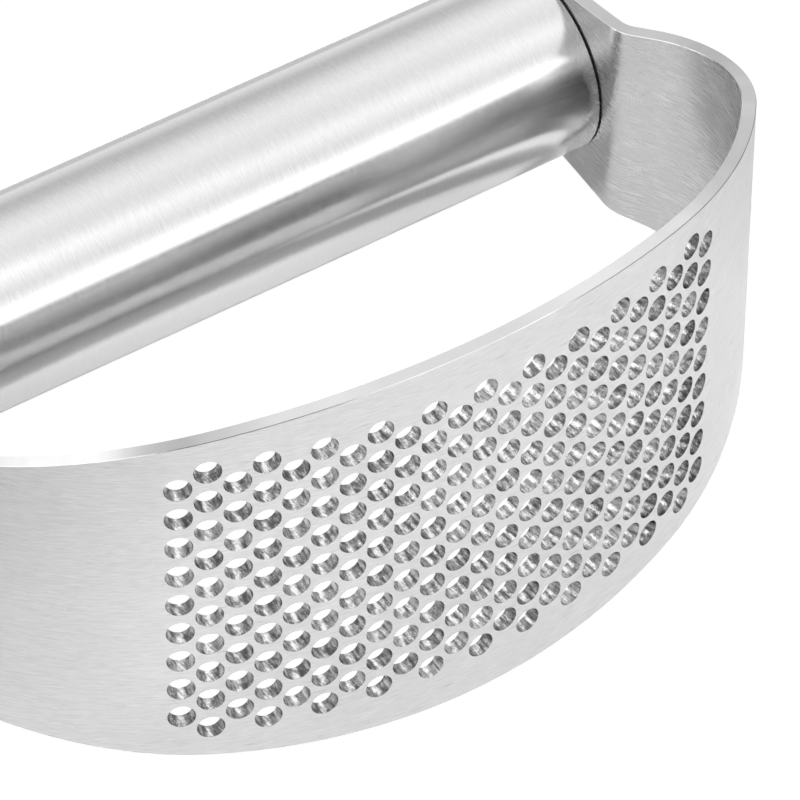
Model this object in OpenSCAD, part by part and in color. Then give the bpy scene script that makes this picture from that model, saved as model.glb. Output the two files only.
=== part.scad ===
// Rocking garlic press: a perforated steel strip, bent into a D, with a tube as its handle.
// X runs along the handle, -Y faces the rocking front, and Z runs across the strip's width.
// The origin is under the middle of the press, level with the strip's lowest edge.

/* [Overall] */
// Length across the two bent corners
press_l = 107.4; // [90:0.2:130]
// Depth from the rocking front to the backs of the side tabs
press_d = 68.4; // [58:0.2:84]
// Width of the strip at the middle of the front
press_w = 50.8; // [42:0.2:62]

/* [Strip] */
// Thickness of the sheet
plate_t = 1.6; // [1.2:0.1:2.2]
// Outer radius of the rocking front
front_r = 82; // [68:1:100]
// Angle from the middle of the front to the start of each shoulder
front_a = 21; // [16:0.5:26]
// Angle that the strip has turned through where a shoulder meets its corner
shoulder_a = 52.5; // [46:0.5:58]
// How far the sides lean in past square before the tabs
lean_a = 31.5; // [20:0.5:36]
// Straight run between a corner and its reverse bend
run_l = 2.4; // [1:0.1:5]
// Outer radius of the reverse bend at the foot of each tab
heel_r = 3.6; // [2:0.1:5]
// Radius of the strip's long edges, seen from the side
edge_r = 220; // [180:5:300]
// How far a tab's round end stands out past the handle tube
tab_rim = 0.6; // [0.2:0.1:2]
// Room between the reverse bend and the handle tube
heel_gap = 1; // [0.5:0.1:3]

/* [Perforations] */
// Diameter of a hole
hole_d = 3.1; // [2.2:0.1:3.6]
// Distance between the holes of one column, across the strip
row_pitch = 4.2; // [3.8:0.1:6]
// Distance between columns, along the strip
col_pitch = 3.14; // [2.9:0.02:4.5]
// Least plain strip between the holes and a long edge
edge_land = 2; // [1.5:0.1:6]
// Least plain strip between the holes and a corner
end_land = 19; // [8:0.5:30]

/* [Handle] */
// Outer diameter of the tube
tube_d = 22; // [18:0.5:27]
// Wall of the tube
tube_wall = 1; // [0.8:0.1:2]
// Bevel on the tube's rims
tube_bevel = 0.1; // [0.1:0.1:0.4]
// Thickness of the flat seal between the tube and a tab
seal_t = 0.2; // [0.2:0.1:1]
// How far the seal's edge is set in from the outside of the tube
seal_inset = 0.4; // [0.2:0.1:1]
// Room all round a plug in the tube
plug_clear = 0.01; // [0.005:0.005:0.05]
// Metal left behind the threaded hole in a plug
plug_floor = 2; // [1:0.5:5]
// Bevel on a plug's inner end
plug_bevel = 0.8; // [0.4:0.1:1.5]

/* [Screws] */
// Thread diameter
thread_d = 5; // [4:0.5:6]
// Room all round the thread in a plug
thread_clear = 0.02; // [0.01:0.01:0.05]
// Room all round the thread in a tab, a seal or a washer
pass_clear = 0.15; // [0.1:0.05:0.4]
// Length under the head
screw_l = 12; // [10:1:16]
// Room past the end of the thread
thread_spare = 1.5; // [1:0.5:4]
// Diameter of the head
head_d = 9.5; // [8.5:0.5:11]
// Height of the head
head_h = 2.75; // [2.2:0.05:3.5]
// Height of the straight edge round the head
head_edge = 0.4; // [0.2:0.1:0.8]
// Distance across the flats of the hexagon socket
socket_w = 3; // [2.5:0.5:4]
// Depth of the hexagon socket
socket_depth = 1.6; // [1:0.1:2]
// Outer diameter of the lock washer
washer_d = 8.8; // [8:0.2:11]
// Thickness of the lock washer
washer_t = 1.2; // [0.8:0.1:1.6]
// Slit in the lock washer
washer_slit = 0.9; // [0.5:0.1:2]

/* [Hidden] */
$fn = 96;

// Extra length that carries a cut clear through what it cuts
over = 1;

// Along the strip: angle a is what the strip has turned through since the middle of the front.
// The strip heads along(a) there, and its outer face looks out(a).
function along(a) = [cos(a), sin(a)];
function out(a) = [sin(a), -cos(a)];
function arc_l(r, a) = r * a * PI / 180;

// The tabs: where their round ends and their reverse bends are
tab_r = tube_d / 2 + tab_rim;
axis_y = press_d - tab_r;
heel_y = axis_y - tube_d / 2 - heel_gap;
corner_a = 90 + lean_a;

// The two radii that carry the strip from the front to the corners and the tabs.
// Its length and its depth each give one linear equation in them.
need_x = press_l / 2 - front_r * sin(front_a);
need_y = heel_y - front_r * (1 - cos(front_a)) - run_l * sin(corner_a) - heel_r * sin(lean_a);
shoulder_dx = sin(shoulder_a) - sin(front_a);
shoulder_dy = cos(front_a) - cos(shoulder_a);
corner_dx = 1 - sin(shoulder_a);
corner_dy = cos(shoulder_a) - cos(corner_a);
both = shoulder_dx * corner_dy - corner_dx * shoulder_dy;
shoulder_r = (need_x * corner_dy - need_y * corner_dx) / both;
corner_r = (need_y * shoulder_dx - need_x * shoulder_dy) / both;

// Centres of the bends, and the start of the straight run, as [x, y]
front_c = [0, front_r];
shoulder_c = front_c + (front_r - shoulder_r) * out(front_a);
corner_c = shoulder_c + (shoulder_r - corner_r) * out(shoulder_a);
run_start = corner_c + corner_r * out(corner_a);
heel_c = run_start + run_l * along(corner_a) + heel_r * out(corner_a);
tab_x = heel_c.x - heel_r;
tube_l = 2 * (tab_x - plate_t - seal_t);

// One face of the strip, inset from the outer one, as points from the left tab to the right tab.
// Each bend is cut into steps that leave no more than chord_gap between it and its chords.
chord_gap = 0.012;
function bend_path(c, r, inset, a0, a1) =
    let (steps = ceil(abs(a1 - a0) / (2 * acos(1 - chord_gap / abs(r)))))
    [for (i = [1 : steps]) c + (r - inset) * out(a0 + (a1 - a0) * i / steps)];
function half_path(inset) = concat(
    bend_path(front_c, front_r, inset, 0, front_a),
    bend_path(shoulder_c, shoulder_r, inset, front_a, shoulder_a),
    bend_path(corner_c, corner_r, inset, shoulder_a, corner_a),
    [heel_c - (heel_r + inset) * out(corner_a)],
    bend_path(heel_c, -heel_r, inset, corner_a, 90),
    [[tab_x - inset, press_d]]
);
function reversed(path) = [for (i = [len(path) - 1 : -1 : 0]) path[i]];
function mirrored(path) = [for (p = reversed(path)) [-p.x, p.y]];
function face_path(inset) = concat(mirrored(half_path(inset)), [[0, inset]], half_path(inset));

// The long edges: a large circle through the front's edge that touches the tab's round end.
// Its centre edge_c and the point of touch are [y, z], with z counted from mid width.
edge_reach = edge_r + tab_r;
edge_base = norm([axis_y, press_w / 2]);
edge_open = acos((edge_reach ^ 2 + edge_base ^ 2 - edge_r ^ 2) / (2 * edge_reach * edge_base));
edge_turn = atan2(press_w / 2, -axis_y) - edge_open;
edge_c = [axis_y, 0] + edge_reach * along(edge_turn);
touch_y = axis_y + tab_r * cos(edge_turn);
function half_w(y) = edge_c[1] - sqrt(edge_r ^ 2 - (edge_c[0] - y) ^ 2);

// The perforations: staggered columns, a long one in the middle
front_l = arc_l(front_r, front_a);
field_l = front_l + arc_l(shoulder_r, shoulder_a - front_a) - end_land - hole_d / 2;
last_col = floor(field_l / col_pitch);
function turn_at(s) = s < front_l
    ? s / arc_l(front_r, 1)
    : front_a + (s - front_l) / arc_l(shoulder_r, 1);
function face_at(s) = s < front_l
    ? front_c + front_r * out(turn_at(s))
    : shoulder_c + shoulder_r * out(turn_at(s));
narrow_w = half_w(face_at(last_col * col_pitch).y);
long_rows = 1 + floor(2 * (narrow_w - edge_land - hole_d / 2) / row_pitch);

// What the screws need
pass_d = thread_d + 2 * pass_clear;
thread_in = screw_l - washer_t - plate_t - seal_t;
bore_l = thread_in + thread_spare;
plug_l = bore_l + plug_floor;
plug_r = tube_d / 2 - tube_wall - plug_clear;
dome_h = head_h - head_edge;
dome_r = (dome_h ^ 2 + (head_d / 2) ^ 2) / (2 * dome_h);

// Moves a piece from the strip's own place, with its front at y = 0 and mid width at z = 0
module place() {
    translate([0, -press_d / 2, press_w / 2]) children();
}

// Turns a piece that was made along +Z so that it lies along the handle, pointing to +X
module on_axis(x = 0) {
    translate([x, axis_y, 0]) rotate([0, 90, 0]) children();
}

module right() {
    place() children();
}

module left() {
    place() mirror([1, 0, 0]) children();
}

// The strip seen along Z: its outer face, then its inner face on the way back
module strip_outline() {
    polygon(concat(face_path(0), reversed(face_path(plate_t))));
}

// The press seen along X: the long edges close in towards the round ends of the tabs
module side_outline() {
    difference() {
        translate([-over, -press_w]) square([touch_y + over, 2 * press_w]);
        for (side = [-1, 1])
            translate([edge_c[0], side * edge_c[1]]) circle(r = edge_r, $fn = 360);
    }
    translate([axis_y, 0]) circle(r = tab_r);
}

module strip() {
    intersection() {
        linear_extrude(press_w + 2 * over, center = true) strip_outline();
        translate([-press_l / 2 - over, 0, 0])
            rotate([90, 0, 90])
                linear_extrude(press_l + 2 * over) side_outline();
    }
}

module perforations() {
    for (col = [-last_col : last_col]) {
        side = sign(col);
        s = abs(col) * col_pitch;
        face = face_at(s);
        rows = long_rows - abs(col) % 2;
        for (row = [0 : rows - 1])
            translate([side * face.x, face.y, (row - (rows - 1) / 2) * row_pitch])
                rotate([90, 0, side * turn_at(s)])
                    cylinder(d = hole_d, h = 2 * (plate_t + over), center = true, $fn = 32);
    }
}

module rocker_plate() {
    color("silver") place() difference() {
        strip();
        perforations();
        on_axis(-press_l) cylinder(d = pass_d, h = 2 * press_l);
    }
}

module handle_tube() {
    r_out = tube_d / 2;
    r_in = r_out - tube_wall;
    half_l = tube_l / 2;
    color("lightgray") place() on_axis() rotate_extrude()
        polygon([
            [r_in, -half_l], [r_out - tube_bevel, -half_l], [r_out, tube_bevel - half_l],
            [r_out, half_l - tube_bevel], [r_out - tube_bevel, half_l], [r_in, half_l]
        ]);
}

// A turned plug, flush with the tube's end, with its blind thread open to the outside
module end_plug() {
    color("darkgray") on_axis(tube_l / 2 - plug_l) difference() {
        rotate_extrude()
            polygon([
                [0, 0], [plug_r - plug_bevel, 0], [plug_r, plug_bevel], [plug_r, plug_l], [0, plug_l]
            ]);
        translate([0, 0, plug_floor])
            cylinder(r = thread_d / 2 + thread_clear, h = bore_l + over);
    }
}

module end_seal() {
    color("dimgray") on_axis(tube_l / 2) difference() {
        cylinder(r = tube_d / 2 - seal_inset, h = seal_t);
        translate([0, 0, -over]) cylinder(d = pass_d, h = seal_t + 2 * over);
    }
}

module screw() {
    color("gainsboro") on_axis(tab_x + washer_t) difference() {
        union() {
            intersection() {
                cylinder(d = head_d, h = head_h);
                translate([0, 0, head_h - dome_r]) sphere(r = dome_r);
            }
            translate([0, 0, -screw_l]) cylinder(d = thread_d, h = screw_l + head_edge);
        }
        translate([0, 0, head_h - socket_depth])
            cylinder(r = socket_w / sqrt(3), h = socket_depth + over, $fn = 6);
    }
}

module lock_washer() {
    color("gray") on_axis(tab_x) difference() {
        cylinder(d = washer_d, h = washer_t);
        translate([0, 0, -over]) cylinder(d = pass_d, h = washer_t + 2 * over);
        translate([0, -washer_slit / 2, -over])
            cube([washer_d, washer_slit, washer_t + 2 * over]);
    }
}

module end_plug_left() { left() end_plug(); }
module end_plug_right() { right() end_plug(); }
module end_seal_left() { left() end_seal(); }
module end_seal_right() { right() end_seal(); }
module screw_left() { left() screw(); }
module screw_right() { right() screw(); }
module lock_washer_left() { left() lock_washer(); }
module lock_washer_right() { right() lock_washer(); }

rocker_plate();
handle_tube();
end_plug_left();
end_plug_right();
end_seal_left();
end_seal_right();
screw_left();
screw_right();
lock_washer_left();
lock_washer_right();
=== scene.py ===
"""Rocking garlic press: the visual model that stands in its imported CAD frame.

A perforated steel strip is bent into a D, and a tube across the open side is the handle. Each end
of the tube holds a turned plug, a flat seal, and a button-head screw with a split washer.
"""

from __future__ import annotations

import logging
import math
from dataclasses import dataclass, field
from enum import Enum
from typing import Callable, Iterable, Sequence

import bmesh
import bpy
import numpy as np
from mathutils import Matrix, Vector
from mathutils.geometry import delaunay_2d_cdt

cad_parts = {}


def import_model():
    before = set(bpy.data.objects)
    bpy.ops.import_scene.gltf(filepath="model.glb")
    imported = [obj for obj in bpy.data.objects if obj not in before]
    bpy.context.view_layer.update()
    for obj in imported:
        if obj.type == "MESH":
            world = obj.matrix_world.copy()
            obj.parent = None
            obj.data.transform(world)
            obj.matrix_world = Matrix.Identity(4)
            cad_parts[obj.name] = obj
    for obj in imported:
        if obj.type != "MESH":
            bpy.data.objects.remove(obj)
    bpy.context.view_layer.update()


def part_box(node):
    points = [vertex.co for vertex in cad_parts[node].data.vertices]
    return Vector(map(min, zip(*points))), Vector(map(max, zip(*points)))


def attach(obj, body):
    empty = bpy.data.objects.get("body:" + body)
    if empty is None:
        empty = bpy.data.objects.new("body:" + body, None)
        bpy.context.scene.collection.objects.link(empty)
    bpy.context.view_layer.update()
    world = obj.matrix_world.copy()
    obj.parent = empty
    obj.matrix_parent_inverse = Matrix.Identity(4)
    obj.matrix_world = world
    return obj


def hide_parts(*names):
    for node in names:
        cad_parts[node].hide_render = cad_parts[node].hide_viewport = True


LOG = logging.getLogger("garlic_press")
MM = 0.001
BODY = "root"
SHARP_ANGLE = math.radians(32)
TINY = 1e-9


class Side(Enum):
    """The two ends of the handle."""

    LEFT = -1
    RIGHT = 1

    @property
    def word(self) -> str:
        """The side's name as it stands in node names."""
        return self.name.lower()


class Grain(Enum):
    """Which way a brushed finish runs, as the weights of x, y and z in its pattern."""

    ALONG_STRIP = (0.0, 0.0, 1.0)
    ROUND_HANDLE = (1.0, 0.0, 0.0)


class Skin(Enum):
    """The surfaces of the strip, each with its own finish."""

    OUTER = 0
    INNER = 1
    RIM = 2
    HOLE = 3


# ---------------------------------------------------------------- node graphs


class Sock:
    """A node's output socket that takes part in Python expressions."""

    def __init__(self, graph: "Graph", socket: bpy.types.NodeSocket) -> None:
        """Keeps the socket and the graph that new Math nodes go into."""
        self.graph = graph
        self.socket = socket

    def _math(self, operation: str, *values: "Sock | float") -> "Sock":
        """Adds one Math node.

        Args:
            operation: The Math node's operation.
            values: Its inputs, in order.

        Returns:
            The node's result.
        """
        inputs = dict(enumerate(values))
        return self.graph.node("ShaderNodeMath", {"operation": operation}, inputs)

    def __add__(self, other: "Sock | float") -> "Sock":
        """self + other."""
        return self._math("ADD", self, other)

    def __radd__(self, other: float) -> "Sock":
        """other + self."""
        return self._math("ADD", other, self)

    def __sub__(self, other: "Sock | float") -> "Sock":
        """self - other."""
        return self._math("SUBTRACT", self, other)

    def __rsub__(self, other: float) -> "Sock":
        """other - self."""
        return self._math("SUBTRACT", other, self)

    def __mul__(self, other: "Sock | float") -> "Sock":
        """self * other."""
        return self._math("MULTIPLY", self, other)

    def __rmul__(self, other: float) -> "Sock":
        """other * self."""
        return self._math("MULTIPLY", other, self)

    def __truediv__(self, other: "Sock | float") -> "Sock":
        """self / other."""
        return self._math("DIVIDE", self, other)

    def __mod__(self, other: "Sock | float") -> "Sock":
        """self % other."""
        return self._math("MODULO", self, other)

    def __ge__(self, other: "Sock | float") -> "Sock":
        """1 where self is at least other, for whole numbers."""
        return self._math("GREATER_THAN", self, other - 0.5)

    def floor(self) -> "Sock":
        """The whole number below self."""
        return self._math("FLOOR", self)

    def size(self) -> "Sock":
        """self without its sign."""
        return self._math("ABSOLUTE", self)

    def angle(self, other: "Sock") -> "Sock":
        """The angle of the direction (other, self), in radians."""
        return self._math("ARCTAN2", self, other)


class Graph:
    """A node tree under construction."""

    def __init__(self, tree: bpy.types.NodeTree) -> None:
        """Starts from an empty tree."""
        self.tree = tree
        tree.nodes.clear()

    def node(
        self,
        kind: str,
        settings: dict[str, object] | None = None,
        inputs: dict[int | str, object] | None = None,
        output: int | str = 0,
    ) -> Sock:
        """Adds one node of any type.

        Args:
            kind: The node's type.
            settings: Attributes of the node, set before its sockets. The stops of a ramp are
                given as "stops", pairs of a place and a grey level or colour.
            inputs: Values or links for its input sockets, by name or number.
            output: The output socket that the caller wants.

        Returns:
            The wanted output.
        """
        made = self.tree.nodes.new(kind)
        for name, value in (settings or {}).items():
            if name == "stops":
                self._set_stops(made.color_ramp, value)
            else:
                setattr(made, name, value)
        for key, value in (inputs or {}).items():
            if isinstance(value, Sock):
                self.tree.links.new(value.socket, made.inputs[key])
            else:
                made.inputs[key].default_value = value
        outputs = made.outputs
        return Sock(self, outputs[output]) if len(outputs) else Sock(self, None)

    @staticmethod
    def _set_stops(ramp: bpy.types.ColorRamp, stops: Sequence[tuple[float, object]]) -> None:
        """Writes a ramp's stops.

        Args:
            ramp: The ramp to write.
            stops: Pairs of a place from 0 to 1 and a grey level or an RGB colour.
        """
        while len(ramp.elements) > 1:
            ramp.elements.remove(ramp.elements[-1])
        for number, (place, level) in enumerate(stops):
            stop = ramp.elements[0] if number == 0 else ramp.elements.new(place)
            stop.position = place
            stop.color = (*level, 1.0) if isinstance(level, tuple) else (level, level, level, 1.0)

    def mix_colour(self, factor: Sock, first: object, second: object) -> Sock:
        """A blend of two colours.

        Args:
            factor: 0 for the first colour, 1 for the second.
            first: An RGBA colour or a link.
            second: An RGBA colour or a link.

        Returns:
            The blended colour.
        """
        sockets = {"Factor": factor, 6: first, 7: second}
        return self.node("ShaderNodeMix", {"data_type": "RGBA"}, sockets, 2)


# ---------------------------------------------------------------- finishes


def grey(level: float, warmth: float = 0.0) -> tuple[float, float, float, float]:
    """A nearly neutral colour.

    Args:
        level: Its brightness, from 0 to 1.
        warmth: How much red it gains and blue it loses.

    Returns:
        The colour as RGBA.
    """
    return (level + warmth, level, level - warmth, 1.0)


@dataclass(frozen=True)
class Finish:
    """A surface finish, with the parts that every finish shares."""

    name: str
    level: float
    roughness: float
    warmth: float = 0.0

    def material(self) -> bpy.types.Material:
        """The finish as a material, made once and then reused."""
        known = bpy.data.materials.get(self.name)
        if known is not None:
            return known
        made = bpy.data.materials.new(self.name)
        made.use_nodes = True
        graph = Graph(made.node_tree)
        shader = graph.node("ShaderNodeBsdfPrincipled", {}, self.sockets(graph))
        graph.node("ShaderNodeOutputMaterial", {}, {"Surface": shader})
        made.diffuse_color = grey(self.level, self.warmth)
        return made

    def sockets(self, graph: Graph) -> dict[int | str, object]:
        """The values and links of the Principled shader; each finish has its own."""
        raise NotImplementedError

    def tint(self, graph: Graph, amount: Sock, spread: float) -> Sock:
        """The finish's colour, made lighter and darker by a pattern.

        Args:
            graph: The material's nodes.
            amount: The pattern, from 0 to 1.
            spread: How far the colour moves each way, as a share of its level.

        Returns:
            The colour.
        """
        dark = grey(self.level * (1 - spread), self.warmth)
        light = grey(min(1.0, self.level * (1 + spread)), self.warmth)
        return graph.mix_colour(amount, dark, light)

    @staticmethod
    def stretched_noise(
        graph: Graph, scale: Sequence[float], detail: float = 2.0, roughness: float = 0.5
    ) -> Sock:
        """Noise with its own scale along each axis.

        Args:
            graph: The material's nodes.
            scale: Features in a metre along x, y and z.
            detail: The noise's octaves.
            roughness: The weight of each finer octave.

        Returns:
            The noise, from 0 to 1.
        """
        place = graph.node("ShaderNodeTexCoord", {}, {}, "Object")
        mapped = graph.node("ShaderNodeMapping", {}, {"Vector": place, "Scale": tuple(scale)})
        inputs = {"Vector": mapped, "Scale": 1.0, "Detail": detail, "Roughness": roughness}
        return graph.node("ShaderNodeTexNoise", {"noise_dimensions": "3D"}, inputs, 0)

    @staticmethod
    def sharpen(graph: Graph, value: Sock, low: float, high: float) -> Sock:
        """value spread out so that low becomes 0 and high becomes 1.

        Args:
            graph: The material's nodes.
            value: What is spread out.
            low: The value that becomes 0.
            high: The value that becomes 1.

        Returns:
            The new value, held between 0 and 1.
        """
        inputs = {"Value": value, 1: low, 2: high, 3: 0.0, 4: 1.0}
        return graph.node("ShaderNodeMapRange", {"clamp": True}, inputs)


@dataclass(frozen=True)
class BrushedSteel(Finish):
    """Steel with the fine parallel lines of a belt or a brush."""

    grain: Grain = Grain.ALONG_STRIP
    line_density: float = 2600.0
    streak_density: float = 45.0
    tone: float = 0.05
    cloud_density: float = 90.0
    relief: float = 0.012
    scratch: float = 0.0
    line_share: float = 0.5
    streak_share: float = 0.38
    sheen_spread: float = 0.12
    pattern_span: tuple[float, float] = (0.38, 0.62)
    scratch_span: tuple[float, float] = (0.66, 0.78)
    scratch_share: float = 0.6
    scratch_shine: float = 1.4

    def _scale(self, across: float, along: float) -> tuple[float, float, float]:
        """Noise scales with `across` over the grain and `along` in its direction."""
        weights = self.grain.value
        return tuple(across * w + along * (1 - w) for w in weights)

    def sockets(self, graph: Graph) -> dict[int | str, object]:
        """Fine lines in the relief, soft streaks in the colour, and a few deeper scratches."""
        lines = self.stretched_noise(graph, self._scale(self.line_density, self.streak_density), 2.0, 0.6)
        streaks = self.stretched_noise(
            graph, self._scale(self.line_density / 2, self.streak_density / 2), 2.0
        )
        clouds = self.stretched_noise(graph, (self.cloud_density,) * 3, 2.0)
        cloud_share = 1.0 - self.line_share - self.streak_share
        mixed = lines * self.line_share + streaks * self.streak_share + clouds * cloud_share
        pattern = self.sharpen(graph, mixed, *self.pattern_span)
        colour = self.tint(graph, pattern, self.tone)
        rough = self.roughness + (streaks - 0.5) * self.sheen_spread
        height = lines
        if self.scratch > 0:
            dashes = self.stretched_noise(
                graph, self._scale(self.line_density * 0.8, self.streak_density * 0.6), 0.0
            )
            cuts = self.sharpen(graph, dashes, *self.scratch_span)
            rough = rough + cuts * self.sheen_spread
            height = height - cuts * self.scratch
            bright = grey(min(1.0, self.level * self.scratch_shine))
            colour = graph.mix_colour(cuts * self.scratch_share, colour, bright)
        bump = {"Strength": 1.0, "Distance": self.relief * MM, "Height": height}
        return {
            "Base Color": colour,
            "Metallic": 1.0,
            "Roughness": rough,
            "Normal": graph.node("ShaderNodeBump", {}, bump),
        }


@dataclass(frozen=True)
class PunchedSteel(Finish):
    """The wall of a punched hole: patches that the punch burnished, and patches that tore."""

    drag_density: tuple[float, float, float] = (2600.0, 500.0, 2600.0)
    blotch_density: tuple[float, float, float] = (1500.0, 1100.0, 1500.0)
    grit_density: float = 6200.0
    contrast: float = 0.52
    hole_to_hole: float = 0.08
    relief: float = 0.1
    wear_span: tuple[float, float] = (0.41, 0.57)
    sheen_spread: float = 0.1
    grit_share: float = 0.2

    def sockets(self, graph: Graph) -> dict[int | str, object]:
        """Blotches of torn and burnished metal, with its own tone for each hole."""
        drag = self.stretched_noise(graph, self.drag_density, 2.0, 0.6)
        blotch = self.stretched_noise(graph, self.blotch_density, 3.0, 0.6)
        grit = self.stretched_noise(graph, (self.grit_density,) * 3, 2.0)
        tone = graph.node("ShaderNodeAttribute", {"attribute_name": HOLE_TONE}, {}, "Fac")
        wear = drag * 0.5 + blotch * 0.5 + (tone - 0.5) * self.hole_to_hole
        torn = self.sharpen(graph, wear, *self.wear_span)
        colour = self.tint(graph, torn, self.contrast)
        rough = self.roughness + torn * self.sheen_spread
        height = wear + grit * self.grit_share
        bump = {"Strength": 1.0, "Distance": self.relief * MM, "Height": height}
        return {
            "Base Color": colour,
            "Metallic": 1.0,
            "Roughness": rough,
            "Normal": graph.node("ShaderNodeBump", {}, bump),
        }


@dataclass(frozen=True)
class TurnedSteel(Finish):
    """Steel fresh from a lathe or a cold header: fine rings round the handle's axis."""

    ring_density: float = 3000.0
    ring_length: float = 90.0
    cloud_density: float = 420.0
    tone: float = 0.12
    relief: float = 0.01
    cloud_share: float = 0.6
    sheen_spread: float = 0.2

    def sockets(self, graph: Graph) -> dict[int | str, object]:
        """Fine rings in the relief and faint clouds in the colour."""
        along = self.ring_length
        rings = self.stretched_noise(graph, (self.ring_density, along, along), 2.0)
        clouds = self.stretched_noise(graph, (self.cloud_density,) * 3, 3.0)
        mixed = rings * (1.0 - self.cloud_share) + clouds * self.cloud_share
        colour = self.tint(graph, mixed, self.tone)
        rough = self.roughness + (clouds - 0.5) * self.sheen_spread
        height = rings + clouds * self.cloud_share
        bump = {"Strength": 1.0, "Distance": self.relief * MM, "Height": height}
        return {
            "Base Color": colour,
            "Metallic": 1.0,
            "Roughness": rough,
            "Normal": graph.node("ShaderNodeBump", {}, bump),
        }


@dataclass(frozen=True)
class Silicone(Finish):
    """Matt black seal rubber with a fine moulded skin; its near-black level is partly the seal's own
    colour and partly painted shade in the joint between tube and tab.
    """

    pebble_density: float = 2500.0
    relief: float = 0.02
    tone: float = 0.3
    sheen_spread: float = 0.2

    def sockets(self, graph: Graph) -> dict[int | str, object]:
        """A pebbled skin with slightly uneven sheen."""
        pebbles = self.stretched_noise(graph, (self.pebble_density,) * 3, 3.0)
        bump = {"Strength": 0.6, "Distance": self.relief * MM, "Height": pebbles}
        return {
            "Base Color": self.tint(graph, pebbles, self.tone),
            "Metallic": 0.0,
            "Roughness": self.roughness + (pebbles - 0.5) * self.sheen_spread,
            "Specular IOR Level": 0.3,
            "Normal": graph.node("ShaderNodeBump", {}, bump),
        }


@dataclass(frozen=True)
class LitFloor(Finish):
    """A pale sheet of paper, which may be lit from below."""

    fibre_density: float = 260.0
    glow: float = 0.95
    tone: float = 0.01

    def sockets(self, graph: Graph) -> dict[int | str, object]:
        """Matt paper with a glow of its own."""
        fibre = self.stretched_noise(graph, (self.fibre_density,) * 3, 3.0)
        return {
            "Base Color": self.tint(graph, fibre, self.tone),
            "Roughness": self.roughness,
            "Specular IOR Level": 0.1,
            "Emission Color": grey(1.0),
            "Emission Strength": self.glow,
        }


HOLE_TONE = "hole_tone"
STRIP_OUTER = BrushedSteel(
    "strip_outer_brushed", 0.65, 0.3, 0.0, line_density=12000.0, streak_density=650.0, tone=0.09
)
STRIP_INNER = BrushedSteel(
    "strip_inner_brushed", 0.62, 0.26, 0.0, line_density=11000.0, streak_density=600.0, tone=0.07,
    scratch=0.25,
)
STRIP_RIM = BrushedSteel("strip_rim_tumbled", 0.72, 0.12, 0.0, line_density=1400.0, relief=0.004)
HOLE_WALL = PunchedSteel("hole_wall_punched", 0.58, 0.12)
TUBE_SATIN = BrushedSteel(
    "tube_satin", 0.74, 0.17, 0.0, Grain.ROUND_HANDLE, 10000.0, 1000.0, tone=0.035, relief=0.003
)
TUBE_BORE = TurnedSteel("tube_bore_drawn", 0.5, 0.4)
PLUG_TURNED = TurnedSteel("plug_turned", 0.6, 0.32)
# The seal's near-black level is partly its own colour and partly painted shade: it darkens the gap where
# the tube meets the tab.
SEAL_BLACK_AND_PAINTED_SHADE = Silicone("seal_silicone", 0.035, 0.55)
SCREW_BRIGHT = TurnedSteel("screw_bright", 0.7, 0.2, relief=0.004)
WASHER_SPRING = TurnedSteel("washer_spring", 0.52, 0.3)
FLOOR_PALE = LitFloor("floor_pale", 0.3, 0.9)
FLOOR_PAPER = LitFloor("floor_paper", 0.6, 0.9, glow=0.0)


# ---------------------------------------------------------------- the strip's shape


@dataclass(frozen=True)
class Bend:
    """One run of the strip with the same curve all along, seen from above."""

    start: float
    length: float
    turn: float
    curve: float
    x: float
    y: float

    def heading(self, run: np.ndarray) -> np.ndarray:
        """What the strip has turned through, in radians, `run` past the bend's start."""
        return self.turn + self.curve * run

    def point(self, run: np.ndarray) -> tuple[np.ndarray, np.ndarray]:
        """x and y of the outer face, `run` past the bend's start."""
        if self.curve == 0.0:
            return self.x + np.cos(self.turn) * run, self.y + np.sin(self.turn) * run
        head = self.heading(run)
        x = self.x + (np.sin(head) - math.sin(self.turn)) / self.curve
        y = self.y + (math.cos(self.turn) - np.cos(head)) / self.curve
        return x, y


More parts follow.
